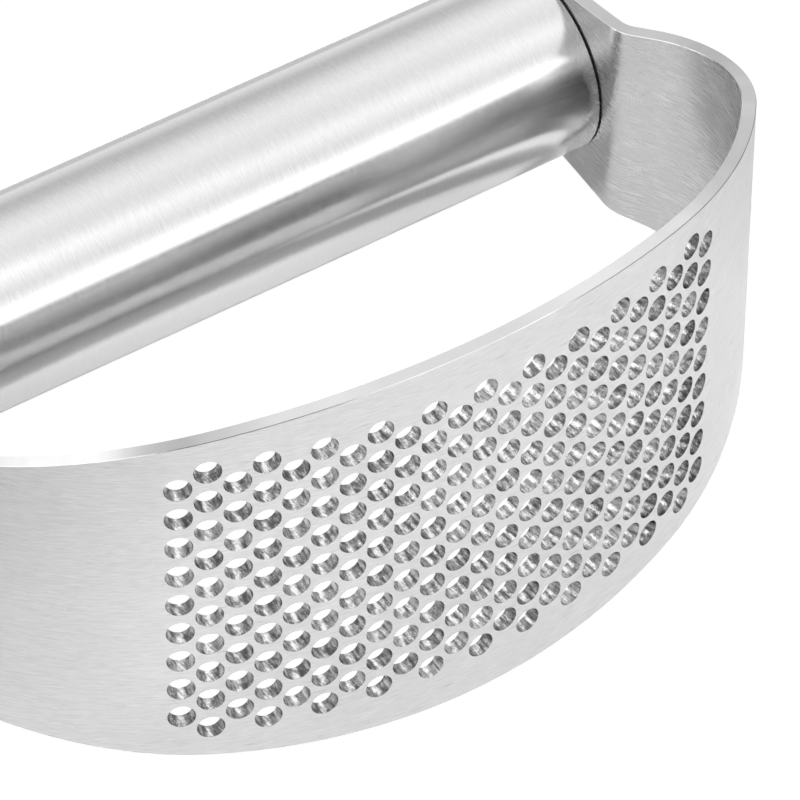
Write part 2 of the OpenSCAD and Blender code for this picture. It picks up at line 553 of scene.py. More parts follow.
@dataclass
class StripShape:
    """The bent strip's outline: the bends along it, and its long edges.

    Distances along the strip count from its middle, heights from mid width, and depths from the
    outer face inwards. y counts from the rocking front.
    """

    half_l: float
    depth: float
    half_w: float
    tube_r: float
    thick: float = 1.6 * MM
    front_r: float = 82 * MM
    front_turn: float = math.radians(21)
    shoulder_turn: float = math.radians(52.5)
    lean: float = math.radians(31.5)
    run_l: float = 2.4 * MM
    heel_r: float = 3.6 * MM
    heel_gap: float = 1.0 * MM
    tab_rim: float = 0.6 * MM
    edge_r: float = 220 * MM
    bends: list[Bend] = field(default_factory=list)

    def __post_init__(self) -> None:
        """Works out the two free radii, the bends and the circle of the long edges."""
        self.tab_r = self.tube_r + self.tab_rim
        self.axis_y = self.depth - self.tab_r
        heel_y = self.axis_y - self.tube_r - self.heel_gap
        corner_turn = math.pi / 2 + self.lean
        shoulder_r, corner_r = self._free_radii(heel_y, corner_turn)
        self._add_bend(self.front_turn * self.front_r, 1 / self.front_r)
        self.front_l = self.bends[0].length
        self._add_bend((self.shoulder_turn - self.front_turn) * shoulder_r, 1 / shoulder_r)
        self.shoulder_l = self.front_l + self.bends[1].length
        self._add_bend((corner_turn - self.shoulder_turn) * corner_r, 1 / corner_r)
        self._add_bend(self.run_l, 0.0)
        self._add_bend(self.lean * self.heel_r, -1 / self.heel_r)
        self.tab_start = self.bends[-1].start + self.bends[-1].length
        self._add_bend(self.depth - heel_y, 0.0)
        self.full_l = self.tab_start + self.bends[-1].length
        self._solve_edges()

    def _free_radii(self, heel_y: float, corner_turn: float) -> tuple[float, float]:
        """Radii of shoulder and corner that give the strip its length and depth.

        Args:
            heel_y: Where the tabs start.
            corner_turn: What the strip has turned through at the corner's end.

        Returns:
            The shoulder's radius and the corner's.
        """
        front, shoulder = self.front_turn, self.shoulder_turn
        need_x = self.half_l - self.front_r * math.sin(front)
        need_y = heel_y - self.front_r * (1 - math.cos(front))
        need_y -= self.run_l * math.sin(corner_turn) + self.heel_r * math.sin(self.lean)
        rows = [
            [math.sin(shoulder) - math.sin(front), 1 - math.sin(shoulder)],
            [math.cos(front) - math.cos(shoulder), math.cos(shoulder) - math.cos(corner_turn)],
        ]
        shoulder_r, corner_r = np.linalg.solve(rows, [need_x, need_y])
        return float(shoulder_r), float(corner_r)

    def _add_bend(self, length: float, curve: float) -> None:
        """Adds a bend that goes on from the last one.

        Args:
            length: Its length along the strip.
            curve: One over its radius, or 0 for a straight run.
        """
        start, turn, x, y = 0.0, 0.0, 0.0, 0.0
        if self.bends:
            last = self.bends[-1]
            start = last.start + last.length
            turn = float(last.heading(last.length))
            x, y = (float(value) for value in last.point(last.length))
        self.bends.append(Bend(start, length, turn, curve, x, y))

    def _solve_edges(self) -> None:
        """Places the large circle of a long edge: it touches the tab's round end."""
        reach = self.edge_r + self.tab_r
        base = math.hypot(self.axis_y, self.half_w)
        opening = math.acos((reach**2 + base**2 - self.edge_r**2) / (2 * reach * base))
        turn = math.atan2(self.half_w, -self.axis_y) - opening
        self.edge_y = self.axis_y + reach * math.cos(turn)
        self.edge_z = reach * math.sin(turn)
        self.touch_y = self.axis_y + self.tab_r * math.cos(turn)
        self.touch_turn = turn

    def trace(self, along: np.ndarray) -> tuple[np.ndarray, np.ndarray, np.ndarray]:
        """x, y and heading of the outer face at distances along the strip."""
        run = np.abs(along)
        x, y, head = np.zeros_like(run), np.zeros_like(run), np.zeros_like(run)
        for bend in self.bends:
            here = run >= bend.start - 1e-12
            x[here], y[here] = bend.point(run[here] - bend.start)
            head[here] = bend.heading(run[here] - bend.start)
        sign = np.where(along < 0, -1.0, 1.0)
        return x * sign, y, head * sign

    def half_width(self, along: np.ndarray) -> np.ndarray:
        """Half the strip's width at distances along it, up to where the round end starts."""
        _, y, _ = self.trace(along)
        return self.edge_z - np.sqrt(self.edge_r**2 - (self.edge_y - y) ** 2)

    def tip_point(self, turn: float, radius: float) -> tuple[float, float]:
        """A point round the tab's end, as distance along the strip and height.

        Args:
            turn: Its angle from the strip's own direction.
            radius: Its distance from the tube's axis.

        Returns:
            The distance along the strip and the height.
        """
        axis = self.full_l - self.tab_r
        return axis + radius * math.cos(turn), radius * math.sin(turn)


@dataclass
class FlatSheet:
    """The strip before it is bent: points as (along, height, depth) and the faces on them."""

    points: list[tuple[float, float, float]] = field(default_factory=list)
    faces: list[tuple[int, ...]] = field(default_factory=list)
    skins: list[Skin] = field(default_factory=list)
    known: dict[tuple[int, int, int], int] = field(default_factory=dict)

    def point(self, along: float, height: float, depth: float) -> int:
        """The number of a point, which is added if it is new.

        Args:
            along: The distance along the strip from its middle.
            height: The height over the strip's middle line.
            depth: The distance in from the outer face.

        Returns:
            The point's number.
        """
        key = tuple(round(value / (0.0005 * MM)) for value in (along, height, depth))
        if key not in self.known:
            self.known[key] = len(self.points)
            self.points.append((along, height, depth))
        return self.known[key]

    def face(self, corners: Iterable[tuple[float, float, float]], skin: Skin) -> None:
        """Adds a face with its corners counter-clockwise, as seen from outside the metal.

        Args:
            corners: The corners, as for point.
            skin: The finish that the face gets.
        """
        numbers = [self.point(*corner) for corner in corners]
        self.faces.append(tuple(numbers))
        self.skins.append(skin)

    def both_faces(self, corners: Sequence[tuple[float, float]], thick: float) -> None:
        """Adds one face on the outer side and the same one, turned over, on the inner side.

        Args:
            corners: Places on the flat strip, counter-clockwise.
            thick: The thickness of the sheet.
        """
        self.face(((a, h, 0.0) for a, h in corners), Skin.OUTER)
        self.face(((a, h, thick) for a, h in reversed(corners)), Skin.INNER)


@dataclass
class RockerPlate:
    """The perforated strip."""

    shape: StripShape
    front_y: float
    mid_z: float
    mouth_r: float = 1.55 * MM
    punch_r: float = 1.38 * MM
    row_pitch: float = 4.2 * MM
    col_pitch: float = 3.14 * MM
    last_col: int = 11
    long_rows: int = 10
    hole_sides: int = 24
    bevel: float = 0.075 * MM
    mouth: float = 0.03 * MM
    burnish: float = 0.6 * MM
    pass_r: float = 2.65 * MM
    height_steps: int = 12
    tip_steps: int = 16
    tab_steps: int = 12
    hole_steps: int = 3
    shoulder_steps: int = 18
    corner_steps: int = 26
    run_steps: int = 3
    heel_steps: int = 8
    fill_step: float = 1.4 * MM
    fill_gap: float = 0.45 * MM
    weld_gap: float = 0.004 * MM
    seed: int = 7

    def build(self) -> bpy.types.Object:
        """Makes the strip as one closed mesh.

        Returns:
            The finished piece.
        """
        sheet = FlatSheet()
        columns = self._columns()
        self._perforated_zone(sheet, columns)
        for side in Side:
            self._plain_zone(sheet, columns, side)
            self._tab(sheet, side)
        self._rim(sheet)
        flat = self._merge(sheet, self._linings())
        return self._bend(flat)

    # ---- columns and outline

    @property
    def field_end(self) -> float:
        """Where the perforated zone ends, a column past the last holes."""
        return (self.last_col + 1) * self.col_pitch

    def _columns(self) -> np.ndarray:
        """Distances along the strip at which its mesh has columns, on one side, up to the tab."""
        steps = [np.linspace(0, self.field_end, self.hole_steps * (self.last_col + 1) + 1)]
        shoulder, corner, run, heel = self.shape.bends[1:5]
        spans = [
            (self.field_end, shoulder.start + shoulder.length, self.shoulder_steps),
            (corner.start, corner.start + corner.length, self.corner_steps),
            (run.start, run.start + run.length, self.run_steps),
            (heel.start, heel.start + heel.length, self.heel_steps),
        ]
        for low, high, count in spans:
            steps.append(np.linspace(low, high, count + 1)[1:])
        return np.concatenate(steps)

    def _heights(self, along: float) -> np.ndarray:
        """Heights of the mesh's rows in the column at `along`, inside the bevels."""
        half = float(self.shape.half_width(np.array([along]))[0]) - self.bevel
        return half * np.linspace(-1, 1, self.height_steps + 1)

    def _tip_outline(self, inset: float) -> list[tuple[float, float]]:
        """The right tab's outline from its foot, along the lower edge, round to the upper one.

        Args:
            inset: How far the outline is drawn in for the bevel.

        Returns:
            Points as distance along the strip and height.
        """
        shape = self.shape
        touch = shape.full_l - shape.tab_r + shape.tab_r * math.cos(shape.touch_turn)
        straight = np.linspace(shape.tab_start, touch, self.tab_steps + 1)
        halves = shape.half_width(straight) - inset
        turns = np.linspace(-shape.touch_turn, shape.touch_turn, self.tip_steps + 1)
        lower = [(float(a), -float(h)) for a, h in zip(straight[:-1], halves[:-1])]
        tip = [shape.tip_point(float(t), shape.tab_r - inset) for t in turns]
        upper = [(a, -h) for a, h in reversed(lower)]
        return lower + tip + upper

    def _outline(self, inset: float) -> list[tuple[float, float]]:
        """The whole outline, counter-clockwise as seen from outside."""
        columns = self._columns()
        halves = self.shape.half_width(columns) - inset
        pairs = list(zip(columns.tolist(), halves.tolist()))
        lower = [(a, -h) for a, h in pairs[:-1]]
        upper = [(a, h) for a, h in reversed(pairs[:-1])]
        right = lower + self._tip_outline(inset) + upper
        left = [(-a, -h) for a, h in right[1:-1]]
        return right + left

    # ---- faces

    def _circle(self, along: float, height: float, radius: float) -> list[tuple[float, float]]:
        """Points round a hole, counter-clockwise.

        Args:
            along: Where its centre is along the strip.
            height: The height of its centre.
            radius: Its radius.

        Returns:
            The points.
        """
        turns = [2 * math.pi * k / self.hole_sides for k in range(self.hole_sides)]
        return [(along + radius * math.cos(t), height + radius * math.sin(t)) for t in turns]

    def _hole_centres(self) -> list[tuple[float, float]]:
        """Centres of the perforations: staggered columns, a long one in the middle."""
        centres = []
        for col in range(-self.last_col, self.last_col + 1):
            rows = self.long_rows - abs(col) % 2
            for row in range(rows):
                centres.append((col * self.col_pitch, (row - (rows - 1) / 2) * self.row_pitch))
        return centres

    def _triangulate(
        self,
        sheet: FlatSheet,
        boundary: list[tuple[float, float]],
        holes: list[tuple[float, float, float]],
        inner: list[tuple[float, float]],
    ) -> None:
        """Fills a zone with triangles, round its holes.

        Args:
            sheet: The sheet that gets the faces.
            boundary: The zone's edge, counter-clockwise.
            holes: Centre and radius of each hole.
            inner: Further points inside the zone.
        """
        points = list(boundary)
        edges = [(k, (k + 1) % len(boundary)) for k in range(len(boundary))]
        for along, height, radius in holes:
            first = len(points)
            ring = self._circle(along, height, radius)
            points += ring
            edges += [(first + k, first + (k + 1) % len(ring)) for k in range(len(ring))]
        points += inner
        # Triangles inside a hole's ring are left out. Slivers on the ring itself stay.
        inside = 0.985
        weld_mm = 1e-4
        scaled = [Vector((a / MM, h / MM)) for a, h in points]
        verts, _, faces, *_ = delaunay_2d_cdt(scaled, edges, [], 1, weld_mm)
        centres = np.array([hole[:2] for hole in holes])
        radii = np.array([hole[2] for hole in holes])
        for face in faces:
            corners = [(verts[k].x * MM, verts[k].y * MM) for k in face]
            middle = np.mean(corners, axis=0)
            if (np.hypot(*(centres - middle).T) < radii * inside).any():
                continue
            sheet.both_faces(corners, self.shape.thick)

    def _perforated_zone(self, sheet: FlatSheet, columns: np.ndarray) -> None:
        """The rocking front with its perforations.

        Args:
            sheet: The flat sheet that gets the faces.
            columns: The grid lines of one half of the strip.
        """
        used = [c for c in columns if c <= self.field_end + TINY]
        full = [-c for c in reversed(used[1:])] + used
        heights = {c: self._heights(c) for c in full}
        lower = [(c, heights[c][0]) for c in full]
        right = [(full[-1], h) for h in heights[full[-1]][1:-1]]
        upper = [(c, heights[c][-1]) for c in reversed(full)]
        left = [(full[0], h) for h in reversed(heights[full[0]][1:-1])]
        centres = np.array(self._hole_centres())
        inner = []
        step = self.fill_step
        for number, column in enumerate(full[1:-1]):
            half = heights[column][-1] - 0.6 * step
            count = int(half / step)
            shift = 0.5 * step * (number % 2)
            for k in range(-count, count):
                spot = (column, k * step + shift)
                if np.hypot(*(centres - spot).T).min() > self.mouth_r + self.fill_gap:
                    inner.append(spot)
        holes = [(a, h, self.mouth_r) for a, h in centres]
        self._triangulate(sheet, lower + right + upper + left, holes, inner)

    def _plain_zone(self, sheet: FlatSheet, columns: np.ndarray, side: Side) -> None:
        """The strip between the perforations and a tab, in a regular grid.

        Args:
            sheet: The flat sheet that gets the faces.
            columns: The grid lines of one half of the strip.
            side: The end of the strip.
        """
        used = [c for c in columns if c >= self.field_end - TINY]
        for low, high in zip(used[:-1], used[1:]):
            first, second = self._heights(low), self._heights(high)
            for k in range(self.height_steps):
                corners = [
                    (low, first[k]), (high, second[k]), (high, second[k + 1]), (low, first[k + 1])
                ]
                if side is Side.LEFT:
                    corners = [(-a, h) for a, h in reversed(corners)]
                sheet.both_faces(corners, self.shape.thick)

    def _tab(self, sheet: FlatSheet, side: Side) -> None:
        """A flat tab with its round end and the screw's hole.

        Args:
            sheet: The flat sheet that gets the faces.
            side: The end of the strip.
        """
        foot = self._heights(self.shape.tab_start)
        rows = [(self.shape.tab_start, float(h)) for h in reversed(foot[1:-1])]
        boundary = self._tip_outline(self.bevel) + rows
        axis = self.shape.full_l - self.shape.tab_r
        hole = (axis * side.value, 0.0, self.pass_r)
        if side is Side.LEFT:
            boundary = [(-a, h) for a, h in reversed(boundary)]
        self._triangulate(sheet, boundary, [hole], [])
        ring = self._circle(*hole)
        for here, there in zip(ring, ring[1:] + ring[:1]):
            wall = ((*here, 0.0), (*there, 0.0), (*there, self.shape.thick), (*here, self.shape.thick))
            sheet.face(wall, Skin.HOLE)

    def _rim(self, sheet: FlatSheet) -> None:
        """The cut edge all round the strip, with a bevel on both sides."""
        thick, bevel = self.shape.thick, self.bevel
        inset, full = self._outline(bevel), self._outline(0.0)
        bands = [(inset, 0.0, full, bevel), (full, bevel, full, thick - bevel)]
        bands.append((full, thick - bevel, inset, thick))
        for first, first_depth, second, second_depth in bands:
            for k in range(len(full)):
                m = (k + 1) % len(full)
                near = ((*first[m], first_depth), (*first[k], first_depth))
                far = ((*second[k], second_depth), (*second[m], second_depth))
                sheet.face(near + far, Skin.RIM)

    # ---- perforations

    def _lining(self) -> bpy.types.Object:
        """The lining of one hole, round the origin: it was punched outwards, so it widens."""
        thick, mouth = self.shape.thick, self.mouth
        loops = [
            (self.mouth_r, 0.0),
            (self.mouth_r - mouth, mouth),
            (self.punch_r + mouth, thick - self.burnish),
            (self.punch_r, thick - mouth),
            (self.mouth_r, thick),
        ]
        points, faces = [], []
        for radius, depth in loops:
            points += [(x, y, depth) for x, y in self._circle(0.0, 0.0, radius)]
        count = self.hole_sides
        for band in range(len(loops) - 1):
            for k in range(count):
                m = (k + 1) % count
                near, far = band * count, (band + 1) * count
                faces.append((near + k, near + m, far + m, far + k))
        mesh = bpy.data.meshes.new("hole_lining")
        mesh.from_pydata(points, [], faces)
        made = bpy.data.objects.new("hole_lining", mesh)
        bpy.context.scene.collection.objects.link(made)
        return made

    def _lining_tree(self) -> tuple[bpy.types.NodeTree, dict[str, str]]:
        """Geometry nodes that set a lining in every perforation of the flat strip.

        Returns:
            The tree, and the identifiers of its inputs by name.
        """
        tree = bpy.data.node_groups.new("perforation_linings", "GeometryNodeTree")
        graph = Graph(tree)
        kinds = {
            "Columns each side": "NodeSocketInt",
            "Long rows": "NodeSocketInt",
            "Column pitch": "NodeSocketFloat",
            "Row pitch": "NodeSocketFloat",
            "Turn step": "NodeSocketFloat",
            "Seed": "NodeSocketInt",
            "Lining": "NodeSocketObject",
            "Finish": "NodeSocketMaterial",
        }
        ids = {}
        for name, kind in kinds.items():
            ids[name] = tree.interface.new_socket(name, in_out="INPUT", socket_type=kind).identifier
        tree.interface.new_socket("Geometry", in_out="OUTPUT", socket_type="NodeSocketGeometry")
        group = tree.nodes.new("NodeGroupInput")
        given = {name: Sock(graph, group.outputs[name]) for name in kinds}
        last, rows = given["Columns each side"], given["Long rows"]
        index = graph.node("GeometryNodeInputIndex")
        number = (index / rows).floor()
        row = index - number * rows
        column = number - last
        in_column = rows - column.size() % 2.0
        along = column * given["Column pitch"]
        height = (row - (in_column - 1.0) / 2.0) * given["Row pitch"]
        spot = graph.node("ShaderNodeCombineXYZ", {}, {"X": along, "Y": height})
        count = (last * 2.0 + 1.0) * rows
        cloud = graph.node("GeometryNodePoints", {}, {"Count": count, "Position": spot})
        extra = {"Geometry": cloud, "Selection": row >= in_column}
        points = graph.node("GeometryNodeDeleteGeometry", {"domain": "POINT"}, extra)
        ring = graph.node("GeometryNodeObjectInfo", {}, {"Object": given["Lining"]}, "Geometry")
        pick = {"Min": 0.0, "Max": float(self.hole_sides), "Seed": given["Seed"]}
        turns = graph.node("FunctionNodeRandomValue", {"data_type": "FLOAT"}, {}, 1)
        for name, value in pick.items():
            self._set_float_input(graph, turns, name, value)
        spin = turns.floor() * given["Turn step"]
        turn = graph.node("ShaderNodeCombineXYZ", {}, {"Z": spin})
        setting = {"Points": points, "Instance": ring, "Rotation": turn}
        linings = graph.node("GeometryNodeInstanceOnPoints", {}, setting)
        tones = graph.node("FunctionNodeRandomValue", {"data_type": "FLOAT"}, {}, 1)
        self._set_float_input(graph, tones, "Seed", given["Seed"] + 1.0)
        settings = {"data_type": "FLOAT", "domain": "INSTANCE"}
        mark = {"Geometry": linings, "Name": HOLE_TONE, "Value": tones}
        toned = graph.node("GeometryNodeStoreNamedAttribute", settings, mark)
        real = graph.node("GeometryNodeRealizeInstances", {}, {"Geometry": toned})
        dress = {"Geometry": real, "Material": given["Finish"]}
        done = graph.node("GeometryNodeSetMaterial", {}, dress)
        graph.node("NodeGroupOutput", {}, {"Geometry": done})
        return tree, ids

    @staticmethod
    def _set_float_input(graph: Graph, made: Sock, name: str, value: object) -> None:
        """Sets or links the visible input called `name`, where a node has several of that name.

        Args:
            graph: The material's nodes.
            made: A socket of the node.
            name: The input's name.
            value: A number or a socket.
        """
        sockets = [s for s in made.socket.node.inputs if s.name == name and s.enabled]
        if isinstance(value, Sock):
            graph.tree.links.new(value.socket, sockets[0])
        else:
            sockets[0].default_value = value

    def _linings(self) -> bpy.types.Mesh:
        """The linings of all the perforations, as a plain mesh in the flat strip's space."""
        lining = self._lining()
        tree, ids = self._lining_tree()
        holder = bpy.data.objects.new("linings", bpy.data.meshes.new("linings"))
        bpy.context.scene.collection.objects.link(holder)
        modifier = holder.modifiers.new("linings", "NODES")
        modifier.node_group = tree
        values = {
            "Columns each side": self.last_col,
            "Long rows": self.long_rows,
            "Column pitch": self.col_pitch,
            "Row pitch": self.row_pitch,
            "Turn step": 2 * math.pi / self.hole_sides,
            "Seed": self.seed,
            "Lining": lining,
            "Finish": HOLE_WALL.material(),
        }
        for name, value in values.items():
            modifier[ids[name]] = value
        bpy.context.view_layer.update()
        graph = bpy.context.evaluated_depsgraph_get()
        mesh = bpy.data.meshes.new_from_object(holder.evaluated_get(graph))
        for spare in (holder, lining):
            bpy.data.objects.remove(spare)
        return mesh

    # ---- joining and bending

    def _merge(self, sheet: FlatSheet, linings: bpy.types.Mesh) -> bpy.types.Mesh:
        """Joins the sheet and the linings into one closed mesh, still flat.

        Args:
            sheet: The flat sheet.
            linings: The walls of the holes.

        Returns:
            The closed mesh.
        """
        work = bmesh.new()
        tone = work.verts.layers.float.new(HOLE_TONE)
        verts = [work.verts.new(point) for point in sheet.points]
        for vert in verts:
            vert[tone] = 0.5
        for numbers, skin in zip(sheet.faces, sheet.skins):
            work.faces.new([verts[k] for k in numbers]).material_index = skin.value
        tones = linings.attributes[HOLE_TONE].data
        added = []
        for vertex in linings.vertices:
            vert = work.verts.new(vertex.co)
            vert[tone] = tones[vertex.index].value
            added.append(vert)
        for polygon in linings.polygons:
            face = work.faces.new([added[k] for k in polygon.vertices])
            face.material_index = Skin.HOLE.value
        bmesh.ops.remove_doubles(work, verts=work.verts[:], dist=self.weld_gap)
        loose = [e for e in work.edges if len(e.link_faces) != 2]
        LOG.info("strip: %d faces, %d open edges", len(work.faces), len(loose))
        mesh = bpy.data.meshes.new("rocker_strip")
        work.to_mesh(mesh)
        work.free()
        bpy.data.meshes.remove(linings)
        return mesh

    def _flat_normals(self, flat: np.ndarray) -> np.ndarray:
        """Normals in the flat strip's space, as (along, height, inwards).

        Args:
            flat: The points, as (along, height, depth).

        Returns:
            A unit normal for each point.
        """
        normals = np.zeros_like(flat)
        tiny = 1e-7
        outer = flat[:, 2] < tiny
        inner = flat[:, 2] > self.shape.thick - tiny
        normals[outer, 2] = -1.0
        normals[inner, 2] = 1.0
        wall = ~(outer | inner)
        spots = flat[wall, :2]
        axis = self.shape.full_l - self.shape.tab_r
        centres = np.array(self._hole_centres())
        gaps = spots[:, None, :] - centres[None, :, :]
        reach = np.hypot(gaps[..., 0], gaps[..., 1])
        nearest = reach.argmin(axis=1)
        inside = reach.min(axis=1) < self.mouth_r + self.bevel
        facing = -gaps[np.arange(len(spots)), nearest]
        slope = self._edge_slope(spots[:, 0])
        edge = np.stack([slope * np.sign(spots[:, 0]), np.sign(spots[:, 1])], axis=1)
        side = np.sign(spots[:, 0])
        round_end = np.stack([spots[:, 0] - side * axis, spots[:, 1]], axis=1)
        past = np.abs(spots[:, 0]) > axis + (self.shape.touch_y - self.shape.axis_y)
        rim = np.where(past[:, None], round_end, edge)
        chosen = np.where(inside[:, None], facing, rim)
        normals[wall, :2] = chosen / np.linalg.norm(chosen, axis=1, keepdims=True)
        return normals

    def _edge_slope(self, along: np.ndarray) -> np.ndarray:
        """How fast the half width falls, at distances along the strip."""
        step = 0.05 * MM
        run = np.minimum(np.abs(along), self.shape.full_l - self.shape.tab_r)
        return (self.shape.half_width(run) - self.shape.half_width(run + step)) / step

    def _bend(self, mesh: bpy.types.Mesh) -> bpy.types.Object:
        """Bends the flat mesh and gives it exact normals.

        Args:
            mesh: The flat mesh, which is changed.

        Returns:
            The finished piece.
        """
        count = len(mesh.vertices)
        flat = np.empty(count * 3)
        mesh.vertices.foreach_get("co", flat)
        flat = flat.reshape(-1, 3)
        x, y, head = self.shape.trace(flat[:, 0])
        sine, cosine = np.sin(head), np.cos(head)
        place = np.stack([x - sine * flat[:, 2], y + cosine * flat[:, 2], flat[:, 1]], axis=1)
        place += [0.0, self.front_y, self.mid_z]
        local = self._flat_normals(flat)
        normals = np.stack(
            [
                local[:, 0] * cosine - local[:, 2] * sine,
                local[:, 0] * sine + local[:, 2] * cosine,
                local[:, 1],
            ],
            axis=1,
        )
        mesh.vertices.foreach_set("co", place.ravel())
        mesh.polygons.foreach_set("use_smooth", [True] * len(mesh.polygons))
        for finish in (STRIP_OUTER, STRIP_INNER, STRIP_RIM, HOLE_WALL):
            mesh.materials.append(finish.material())
        mesh.update()
        mesh.normals_split_custom_set(self._corner_normals(mesh, flat, normals).tolist())
        return link("rocker_strip", mesh)

    def _corner_normals(
        self, mesh: bpy.types.Mesh, flat: np.ndarray, normals: np.ndarray
    ) -> np.ndarray:
        """Normals at the mesh's face corners, with one normal for each face of the bevels.

        Args:
            mesh: The bent mesh.
            flat: Its points before bending, as (along, height, depth).
            normals: A unit normal for each point.

        Returns:
            A unit normal for each face corner.
        """
        owners = np.empty(len(mesh.loops), dtype=int)
        mesh.loops.foreach_get("vertex_index", owners)
        corner_normals = normals[owners]
        for polygon in mesh.polygons:
            if polygon.material_index != Skin.RIM.value:
                continue
            corners = list(polygon.loop_indices)
            if np.ptp(flat[owners[corners], 2]) < 2 * self.bevel:
                middle = corner_normals[corners].sum(axis=0)
                corner_normals[corners] = middle / np.linalg.norm(middle)
        return corner_normals


# ---------------------------------------------------------------- turned pieces


def link(name: str, mesh: bpy.types.Mesh) -> bpy.types.Object:
    """An object at the origin that holds the mesh.

    Args:
        name: Its name.
        mesh: The mesh.

    Returns:
        The new object.
    """
    made = bpy.data.objects.new(name, mesh)
    bpy.context.scene.collection.objects.link(made)
    return made


def close_up(work: bmesh.types.BMesh, name: str, finish: Finish) -> bpy.types.Object:
    """Turns a bmesh into a piece with outward faces, smooth but for its sharp edges.

    Args:
        work: The faces, which are freed.
        name: The piece's name.
        finish: Its finish.

    Returns:
        The finished piece.
    """
    bmesh.ops.recalc_face_normals(work, faces=work.faces[:])
    for face in work.faces:
        face.smooth = True
    for edge in work.edges:
        edge.smooth = edge.calc_face_angle(0.0) < SHARP_ANGLE
    mesh = bpy.data.meshes.new(name)
    work.to_mesh(mesh)
    work.free()
    mesh.materials.append(finish.material())
    return link(name, mesh)


def hand_over(piece: bpy.types.Object, node: str) -> None:
    """Puts a finished piece in place of its CAD node.

    Args:
        piece: The finished piece.
        node: The CAD node that it stands for.
    """
    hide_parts(node)
    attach(piece, BODY)
    LOG.info("%s: %d faces in place of %s", piece.name, len(piece.data.polygons), node)


@dataclass(frozen=True)
class Corner:
    """A corner of a turned profile: its place along the axis, its radius, and its rounding."""

    a: float
    r: float
    rounding: float = 0.0


